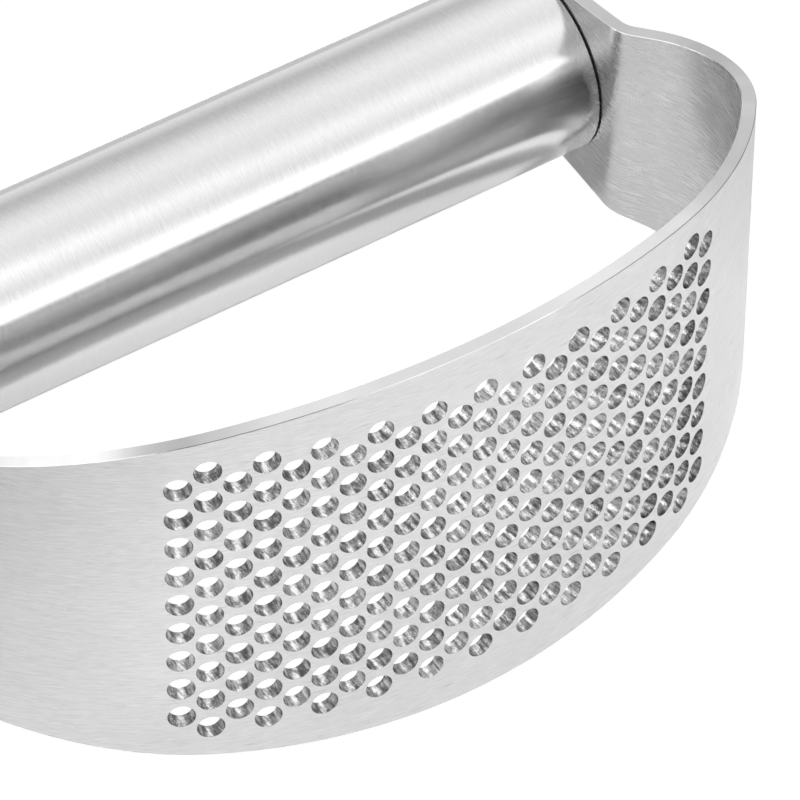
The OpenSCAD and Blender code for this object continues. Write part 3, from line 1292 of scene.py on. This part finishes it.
@dataclass
class Lathe:
    """Turns profiles round the handle's axis."""

    axis_y: float
    axis_z: float
    sides: int = 144
    round_steps: int = 4

    def _segments(self, corners: Sequence[Corner]) -> list[tuple[np.ndarray, ...]]:
        """The profile as short segments with a normal at each end.

        Args:
            corners: The profile's corners, the last joined to the first.

        Returns:
            For each segment its start, its end, and the normals there, as (a, r).
        """
        spots = [np.array([c.a, c.r]) for c in corners]
        area = sum(
            p[0] * q[1] - q[0] * p[1] for p, q in zip(spots, spots[1:] + spots[:1])
        )
        sign = 1.0 if area > 0 else -1.0
        entries, pieces = [], []
        for k, corner in enumerate(corners):
            here = spots[k]
            before, after = spots[k - 1] - here, spots[(k + 1) % len(spots)] - here
            if corner.rounding <= 0:
                entries.append((here, here))
                continue
            before, after = before / np.linalg.norm(before), after / np.linalg.norm(after)
            half = math.acos(float(np.clip(before @ after, -1, 1))) / 2
            reach = corner.rounding / math.tan(half)
            middle = before + after
            centre = here + middle / np.linalg.norm(middle) * corner.rounding / math.sin(half)
            start, end = here + before * reach, here + after * reach
            entries.append((start, end))
            pieces += self._rounding(start, end, centre)
        lines = []
        for k, (_, leave) in enumerate(entries):
            arrive = entries[(k + 1) % len(entries)][0]
            run = arrive - leave
            length = np.linalg.norm(run)
            if length < TINY or (leave[1] < TINY and arrive[1] < TINY):
                continue
            normal = sign * np.array([run[1], -run[0]]) / length
            lines.append((leave, arrive, normal, normal))
        return lines + pieces

    def _rounding(
        self, start: np.ndarray, end: np.ndarray, centre: np.ndarray
    ) -> list[tuple[np.ndarray, ...]]:
        """Segments of a rounded corner, with normals that turn smoothly along it.

        Args:
            start: Where the rounding starts, as (a, r).
            end: Where it ends.
            centre: The middle of its circle.

        Returns:
            For each segment its start, its end, and the normals there.
        """
        spread = np.linalg.norm(start - centre)
        first, last = (start - centre) / spread, (end - centre) / spread
        shares = np.linspace(0, 1, self.round_steps + 1)
        turn = math.acos(float(np.clip(first @ last, -1, 1)))
        rays = [
            (math.sin((1 - s) * turn) * first + math.sin(s * turn) * last) / math.sin(turn)
            for s in shares
        ]
        return [(centre + p * spread, centre + q * spread, p, q) for p, q in zip(rays, rays[1:])]

    def turn(
        self,
        name: str,
        corners: Sequence[Corner],
        finishes: Sequence[Finish],
        side: Side = Side.RIGHT,
        pick: Callable[[float, float], int] | None = None,
    ) -> bpy.types.Object:
        """Turns a profile into a closed piece.

        Args:
            name: The piece's name.
            corners: Its profile, in order round it.
            finishes: Its finishes.
            side: The end of the handle; the left one is mirrored.
            pick: Which finish a face has, from its place along the axis and its radius.

        Returns:
            The finished piece.
        """
        turns = np.linspace(0, 2 * math.pi, self.sides, endpoint=False)
        ring = np.stack([np.cos(turns), np.sin(turns)], axis=1)
        points: list[tuple[float, float, float]] = []
        known: dict[tuple[int, int], list[int]] = {}
        faces, normals, materials = [], [], []

        def ring_of(spot: np.ndarray) -> list[int]:
            """The numbers of the points round the axis at one spot of the outline."""
            key = (round(spot[0] / 1e-8), round(spot[1] / 1e-8))
            if key not in known:
                count = 1 if spot[1] < TINY else self.sides
                first = len(points)
                for cosine, sine in ring[:count]:
                    y = self.axis_y + spot[1] * cosine
                    z = self.axis_z + spot[1] * sine
                    points.append((side.value * spot[0], y, z))
                known[key] = [first + k % count for k in range(self.sides)]
            return known[key]

        area = sum(
            p.a * q.r - q.a * p.r for p, q in zip(corners, [*corners[1:], corners[0]])
        )
        flip = (area > 0) != (side is Side.RIGHT)
        for start, end, first, last in self._segments(corners):
            run = end - start
            outward = np.array([run[1], -run[0]]) * (1.0 if area > 0 else -1.0)
            sign = 1.0 if outward @ (first + last) > 0 else -1.0
            near, far = ring_of(start), ring_of(end)
            middle = (start + end) / 2
            for k in range(self.sides):
                m = (k + 1) % self.sides
                quad = [(near[k], k, first), (far[k], k, last), (far[m], m, last), (near[m], m, first)]
                if start[1] < TINY:
                    quad.pop(3)
                elif end[1] < TINY:
                    quad.pop(2)
                if flip:
                    quad.reverse()
                faces.append([number for number, _, _ in quad])
                for _, spoke, normal in quad:
                    across = sign * normal[1]
                    normals.append(
                        (side.value * sign * normal[0], across * ring[spoke][0], across * ring[spoke][1])
                    )
                materials.append(pick(float(middle[0]), float(middle[1])) if pick else 0)
        mesh = bpy.data.meshes.new(name)
        mesh.from_pydata(points, [], faces)
        mesh.polygons.foreach_set("use_smooth", [True] * len(faces))
        mesh.polygons.foreach_set("material_index", materials)
        for finish in finishes:
            mesh.materials.append(finish.material())
        mesh.update()
        mesh.normals_split_custom_set(normals)
        return link(name, mesh)


@dataclass
class Handle:
    """The satin tube, with what closes its two ends."""

    lathe: Lathe
    half_l: float
    radius: float
    tab_x: float
    wall: float = 1.0 * MM
    rim_round: float = 0.08 * MM
    seal_inset: float = 0.4 * MM
    plug_clear: float = 0.01 * MM
    plug_floor: float = 2.0 * MM
    plug_bevel: float = 0.8 * MM
    thread_r: float = 2.5 * MM
    thread_clear: float = 0.02 * MM
    thread_lead: float = 0.4 * MM
    thread_depth: float = 0.5 * MM
    thread_pitch: float = 0.8 * MM
    thread_crest: float = 0.45
    thread_free: float = 1.5 * MM
    neck_l: float = 0.6 * MM
    tip_taper: float = 0.8
    drill_point: float = 0.1 * MM
    pass_r: float = 2.65 * MM
    head_r: float = 4.75 * MM
    head_h: float = 2.75 * MM
    head_edge: float = 0.4 * MM
    head_round: float = 0.1 * MM
    crown_r: float = 2.35 * MM
    dome_steps: int = 8
    washer_h: float = 1.2 * MM
    washer_r: float = 4.4 * MM
    washer_slit: float = 0.9 * MM
    washer_round: float = 0.12 * MM
    washer_steps: int = 72
    screw_l: float = 12.0 * MM
    screw_sides: int = 48
    socket_w: float = 3.0 * MM
    socket_depth: float = 1.6 * MM
    socket_edge: float = 0.12 * MM
    socket_point: float = 0.4 * MM

    def build(self) -> None:
        """Makes the tube and, for each end, the plug, the seal, the screw and the washer."""
        hand_over(self.tube(), "handle_tube")
        for side in Side:
            word = side.word
            hand_over(self.plug(side), f"end_plug_{word}")
            hand_over(self.seal(side), f"end_seal_{word}")
            hand_over(self.screw(side), f"screw_{word}")
            hand_over(self.washer(side), f"lock_washer_{word}")

    def tube(self) -> bpy.types.Object:
        """The tube, with rounded rims outside and a drawn bore."""
        bore = self.radius - self.wall
        corners = [
            Corner(-self.half_l, bore, self.rim_round / 2),
            Corner(self.half_l, bore, self.rim_round / 2),
            Corner(self.half_l, self.radius, self.rim_round),
            Corner(-self.half_l, self.radius, self.rim_round),
        ]
        middle = (bore + self.radius) / 2
        return self.lathe.turn(
            "satin_tube", corners, (TUBE_SATIN, TUBE_BORE), pick=lambda a, r: int(r < middle)
        )

    def plug(self, side: Side) -> bpy.types.Object:
        """A turned plug with a blind threaded hole."""
        lowest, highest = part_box(f"end_plug_{side.word}")
        length = highest[0] - lowest[0]
        back = self.half_l - length
        outer = self.radius - self.wall - self.plug_clear
        bore = self.thread_r + self.thread_clear
        bottom = back + self.plug_floor
        corners = [
            Corner(back, 0.0),
            Corner(back, outer - self.plug_bevel, 0.2 * MM),
            Corner(back + self.plug_bevel, outer, 0.3 * MM),
            Corner(self.half_l, outer, 0.1 * MM),
            Corner(self.half_l, bore + self.thread_lead, 0.05 * MM),
            Corner(self.half_l - self.thread_lead, bore),
            Corner(bottom + self.drill_point, bore),
            Corner(bottom, 0.0),
        ]
        return self.lathe.turn(f"turned_plug_{side.word}", corners, (PLUG_TURNED,), side)

    def seal(self, side: Side) -> bpy.types.Object:
        """A flat silicone ring between the tube and the tab, whose near-black colour also paints the
        shade of the gap there.
        """
        inner, outer = self.pass_r, self.radius - self.seal_inset
        thick = self.tab_x - self.half_l
        soft = thick * 0.3
        corners = [
            Corner(self.half_l, inner, soft),
            Corner(self.tab_x, inner, soft),
            Corner(self.tab_x, outer, soft),
            Corner(self.half_l, outer, soft),
        ]
        return self.lathe.turn(f"flat_seal_{side.word}", corners, (SEAL_BLACK_AND_PAINTED_SHADE,), side)

    def _outside(self) -> float:
        """Where a washer's inner face is: the outer face of the tab."""
        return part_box("lock_washer_right")[0][0]

    def screw(self, side: Side) -> bpy.types.Object:
        """A button-head screw with a hexagon socket and rolled threads."""
        under = self._outside() + self.washer_h
        top = under + self.head_h
        dome_h = self.head_h - self.head_edge
        dome_r = (dome_h**2 + self.head_r**2) / (2 * dome_h)
        rim = math.asin(self.head_r / dome_r)
        crown = math.asin(self.crown_r / dome_r)
        dome = [
            (top - dome_r + dome_r * math.cos(t), dome_r * math.sin(t))
            for t in np.linspace(crown, rim, self.dome_steps + 1)
        ]
        flat_top = dome[0][0]
        grooves = int((self.screw_l - self.thread_free) / self.thread_pitch)
        root = self.thread_r - self.thread_depth
        tip = under - self.screw_l
        loops: list[tuple[float, float, bool]] = [(tip, root * self.tip_taper, False)]
        for k in range(grooves):
            at = tip + self.thread_depth + k * self.thread_pitch
            crest = at + self.thread_crest * self.thread_pitch
            loops += [(at, root, False), (crest, self.thread_r, False)]
        loops += [(under - self.neck_l, root, False), (under, root, False)]
        loops.append((under, self.head_r - self.head_round, False))
        loops.append((under + self.head_round, self.head_r, False))
        loops += [(a, r, False) for a, r in reversed(dome)]
        hexagon = self.socket_w / 2
        bottom = top - self.socket_depth
        loops += [
            (flat_top, hexagon + self.socket_edge, True),
            (flat_top - self.socket_edge, hexagon, True),
            (bottom, hexagon, True),
        ]
        return self._loft(f"button_screw_{side.word}", loops, bottom - self.socket_point, side)

    def _loft(
        self, name: str, loops: Sequence[tuple[float, float, bool]], floor: float, side: Side
    ) -> bpy.types.Object:
        """A closed piece through loops round the handle's axis.

        Args:
            name: The piece's name.
            loops: For each loop its place along the axis, its radius, and True for a hexagon,
                whose radius is then half its width across flats.
            floor: Where the middle of the socket's floor is.
            side: The end of the handle.

        Returns:
            The finished piece.
        """
        sides = self.screw_sides
        points: list[tuple[float, float, float]] = []
        for place, radius, six in loops:
            for k in range(sides):
                turn = 2 * math.pi * k / sides
                offset = (turn + math.pi / 6) % (math.pi / 3) - math.pi / 6
                reach = radius / math.cos(offset) if six else radius
                y = self.lathe.axis_y + reach * math.cos(turn)
                z = self.lathe.axis_z + reach * math.sin(turn)
                points.append((side.value * place, y, z))
        start, end = len(points), len(points) + 1
        points.append((side.value * loops[0][0], self.lathe.axis_y, self.lathe.axis_z))
        points.append((side.value * floor, self.lathe.axis_y, self.lathe.axis_z))
        faces: list[tuple[int, ...]] = []
        for k in range(sides):
            m = (k + 1) % sides
            faces.append((start, m, k))
            for band in range(len(loops) - 1):
                near, far = band * sides, (band + 1) * sides
                faces.append((near + k, near + m, far + m, far + k))
            tail = (len(loops) - 1) * sides
            faces.append((tail + k, tail + m, end))
        work = bmesh.new()
        verts = [work.verts.new(point) for point in points]
        for numbers in faces:
            work.faces.new([verts[k] for k in numbers])
        return close_up(work, name, SCREW_BRIGHT)

    def washer(self, side: Side) -> bpy.types.Object:
        """A split spring washer, pressed flat, with its slit towards the tab's end."""
        inner, outer, height = self.pass_r, self.washer_r, self.washer_h
        soft = self.washer_round
        place = self._outside()
        section = [
            (0.0, inner + soft), (soft, inner), (height - soft, inner), (height, inner + soft),
            (height, outer - soft), (height - soft, outer), (soft, outer), (0.0, outer - soft),
        ]
        middle_r = (inner + outer) / 2
        gap = self.washer_slit / middle_r / 2
        turns = np.linspace(gap, 2 * math.pi - gap, self.washer_steps + 1)
        work = bmesh.new()
        rings = []
        for turn in turns:
            ring = []
            for rise, radius in section:
                y = self.lathe.axis_y + radius * math.cos(turn)
                z = self.lathe.axis_z + radius * math.sin(turn)
                ring.append(work.verts.new((side.value * (place + rise), y, z)))
            rings.append(ring)
        count = len(section)
        for near, far in zip(rings, rings[1:]):
            for k in range(count):
                m = (k + 1) % count
                work.faces.new((near[k], near[m], far[m], far[k]))
        work.faces.new(rings[0])
        work.faces.new(list(reversed(rings[-1])))
        return close_up(work, f"split_washer_{side.word}", WASHER_SPRING)


# ---------------------------------------------------------------- the studio


@dataclass(frozen=True)
class SoftBox:
    """A square lamp that points at the press."""

    name: str
    place: tuple[float, float, float]
    size: float
    watts: float
    in_steel: bool


@dataclass(frozen=True)
class Tent:
    """The white tent round the press, as light levels by direction.

    The bands run along the handle, and their angles are in degrees from the back, over the top, to
    the front. A place on the sides is 0 at the far left and 1 at the far right. The gap is a slit
    between two cloths on the left, where a level of 0.5 leaves the band as it is.
    """

    strength: float = 1.1
    bands: tuple[tuple[float, float], ...] = (
        (-180, 0.2), (-120, 0.2), (-60, 0.8), (-10, 1.0), (6, 0.82), (17, 0.62), (30, 0.7),
        (44, 0.95), (64, 1.12), (84, 0.98), (92, 1.0), (108, 1.24), (120, 1.1), (129, 0.95),
        (138, 1.2), (146, 1.7), (160, 1.5), (170, 0.7), (180, 0.2),
    )
    sides: tuple[tuple[float, float], ...] = (
        (0.0, 0.3), (0.1, 1.2), (0.23, 1.2), (0.275, 0.25), (0.51, 0.4), (0.55, 1.0), (0.64, 1.0),
        (0.69, 0.9), (0.72, 0.9), (0.77, 1.12), (0.8, 1.15), (0.84, 0.4), (1.0, 0.3),
    )
    gap: tuple[tuple[float, float], ...] = (
        (0.0, 0.5), (0.57, 0.5), (0.60, 0.8), (0.61, 0.78), (0.618, 0.4), (0.6235, 0.2),
        (0.6285, 0.3), (0.634, 0.5), (0.64, 0.52), (1.0, 0.5),
    )
    gap_from: float = 0.31
    gap_full: float = 0.26


@dataclass
class Studio:
    """The pale floor, the soft light and the camera."""

    azimuth: float = -34.70
    elevation: float = 43.99
    roll: float = 0.586
    distance: float = 0.845
    lens: float = 351.96
    aim: tuple[float, float, float] = (0.0059, -0.0100, 0.0204)
    sensor: float = 36.0
    near_clip: float = 0.01
    paper: tuple[float, ...] = (-0.2, -0.13, 0.2, 0.2)
    sweep: tuple[float, ...] = (-3.0, -3.0, 3.0, 3.0)
    sweep_drop: float = 0.02 * MM
    tent: Tent = Tent()
    boxes: tuple[SoftBox, ...] = (
        SoftBox("glint_box", (0.15, -0.25, 0.9), 0.08, 0.4, True),
        SoftBox("paper_box", (-0.25, 0.45, 1.1), 0.3, 2.6, False),
    )
    box_aim: tuple[float, float, float] = (0.0, 0.0, 0.02)
    pool_place: tuple[float, float, float] = (0.02, -0.4, 0.7)
    pool_aim: tuple[float, float, float] = (0.014, -0.06, 0.0)
    pool_watts: float = 150.0
    pool_angle: float = math.radians(8.6)
    pool_softness: float = 0.1

    def build(self) -> None:
        """Makes the floor, the sky, the lamps and the camera."""
        self._floor()
        self._sky()
        self._lamps()
        self._pool()
        self._camera()
        scene = bpy.context.scene
        scene.view_settings.view_transform = "Standard"
        scene.cycles.use_denoising = True

    def _floor(self) -> None:
        """A backlit sweep that is seen, and on it the paper that the steel reflects."""
        paper = self._sheet("paper_floor", 0.0, self.paper, FLOOR_PAPER)
        paper.visible_camera = False
        glass = self._sheet("pale_floor", -self.sweep_drop, self.sweep, FLOOR_PALE)
        glass.visible_glossy = False
        glass.visible_diffuse = False

    def _sheet(
        self, name: str, height: float, sides: tuple[float, ...], finish: Finish
    ) -> bpy.types.Object:
        """A large flat sheet that is no part of the press.

        Args:
            name: Its name.
            height: Its height.
            sides: Its left, front, right and back ends.
            finish: Its finish.

        Returns:
            The sheet.
        """
        left, front, right, back = sides
        mesh = bpy.data.meshes.new(name)
        plan = [(left, front), (right, front), (right, back), (left, back)]
        mesh.from_pydata([(x, y, height) for x, y in plan], [], [(0, 1, 2, 3)])
        mesh.materials.append(finish.material())
        sheet = link(name, mesh)
        return sheet

    def _sky(self) -> None:
        """A white tent with soft bands along the handle, from the back over the top to the front."""
        world = bpy.data.worlds.new("tent")
        world.use_nodes = True
        bpy.context.scene.world = world
        graph = Graph(world.node_tree)
        way = graph.node("ShaderNodeTexCoord", {}, {}, "Generated")
        split = graph.node("ShaderNodeSeparateXYZ", {}, {"Vector": way}, "Y")
        rise = Sock(graph, split.socket.node.outputs["Z"])
        reach = Sock(graph, split.socket.node.outputs["X"])
        share = rise.angle(split) / (2 * math.pi) + 0.5
        tent = self.tent
        bands = [((degrees + 180) / 360, level) for degrees, level in tent.bands]
        light = self._levels(graph, bands, share)
        side = self._levels(graph, tent.sides, reach / 2 + 0.5)
        slit = self._levels(graph, tent.gap, share)
        near = Finish.sharpen(graph, reach, tent.gap_from, tent.gap_full)
        cloths = 1.0 + near * (slit * 2.0 - 1.0)
        strength = side * cloths * tent.strength
        shine = graph.node("ShaderNodeBackground", {}, {"Color": light, "Strength": strength})
        graph.node("ShaderNodeOutputWorld", {}, {"Surface": shine})

    @staticmethod
    def _levels(graph: Graph, stops: Sequence[tuple[float, float]], place: Sock) -> Sock:
        """Light levels that go smoothly from one stop to the next.

        Args:
            graph: The tent's nodes.
            stops: Pairs of a place from 0 to 1 and a level.
            place: Where on the stops a direction falls.

        Returns:
            The level.
        """
        return graph.node("ShaderNodeValToRGB", {"stops": stops}, {"Fac": place}, "Color")

    def _lamps(self) -> None:
        """A small box whose glints show in the holes, and a larger one that lights the paper."""
        for box in self.boxes:
            lamp = bpy.data.lights.new(box.name, "AREA")
            lamp.size = box.size
            lamp.energy = box.watts
            made = self._hang(box.name, lamp, box.place, self.box_aim)
            made.visible_glossy = box.in_steel
            made.visible_camera = False

    def _pool(self) -> None:
        """A soft pool of light on the paper before the rocking front."""
        lamp = bpy.data.lights.new("pool", "SPOT")
        lamp.energy = self.pool_watts
        lamp.spot_size = self.pool_angle
        lamp.spot_blend = 1.0
        lamp.shadow_soft_size = self.pool_softness
        made = self._hang("pool", lamp, self.pool_place, self.pool_aim)
        made.visible_glossy = False

    @staticmethod
    def _hang(
        name: str,
        lamp: bpy.types.Light,
        place: tuple[float, float, float],
        aim: tuple[float, float, float],
    ) -> bpy.types.Object:
        """Hangs a lamp in the scene.

        Args:
            name: Its name.
            lamp: The lamp.
            place: Where it hangs.
            aim: The point that it shines at.

        Returns:
            The lamp's object.
        """
        made = bpy.data.objects.new(name, lamp)
        made.location = place
        toward = Vector(aim) - Vector(place)
        made.rotation_euler = toward.to_track_quat("-Z", "Y").to_euler()
        bpy.context.scene.collection.objects.link(made)
        return made

    def _camera(self) -> None:
        """A long lens above and to the left of the rocking front."""
        turn, rise = math.radians(self.azimuth), math.radians(self.elevation)
        back = Vector(
            (math.sin(turn) * math.cos(rise), -math.cos(turn) * math.cos(rise), math.sin(rise))
        )
        data = bpy.data.cameras.new("camera")
        data.lens = self.lens
        data.sensor_width = self.sensor
        data.clip_start = self.near_clip
        made = bpy.data.objects.new("camera", data)
        right = Vector((0, 0, 1)).cross(back).normalized()
        up = back.cross(right)
        basis = Matrix((right, up, back)).transposed().to_4x4()
        spin = Matrix.Rotation(math.radians(self.roll), 4, "Z")
        made.matrix_world = Matrix.Translation(Vector(self.aim) + back * self.distance) @ basis @ spin
        bpy.context.scene.collection.objects.link(made)
        bpy.context.scene.camera = made


def main() -> None:
    """Builds the press around its frame."""
    logging.basicConfig(level=logging.INFO, format="%(name)s: %(message)s")
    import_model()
    Studio().build()

    plate_low, plate_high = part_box("rocker_plate")
    tube_low, tube_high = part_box("handle_tube")
    radius = (tube_high[2] - tube_low[2]) / 2
    mid_z = (tube_high[2] + tube_low[2]) / 2
    shape = StripShape(
        half_l=(plate_high[0] - plate_low[0]) / 2,
        depth=plate_high[1] - plate_low[1],
        half_w=(plate_high[2] - plate_low[2]) / 2,
        tube_r=radius,
    )
    strip = RockerPlate(shape, front_y=plate_low[1], mid_z=mid_z).build()
    hand_over(strip, "rocker_plate")

    lathe = Lathe(axis_y=(tube_low[1] + tube_high[1]) / 2, axis_z=mid_z)
    seal_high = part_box("end_seal_right")[1]
    Handle(lathe, half_l=tube_high[0], radius=radius, tab_x=seal_high[0]).build()


if __name__ == "__main__":
    main()
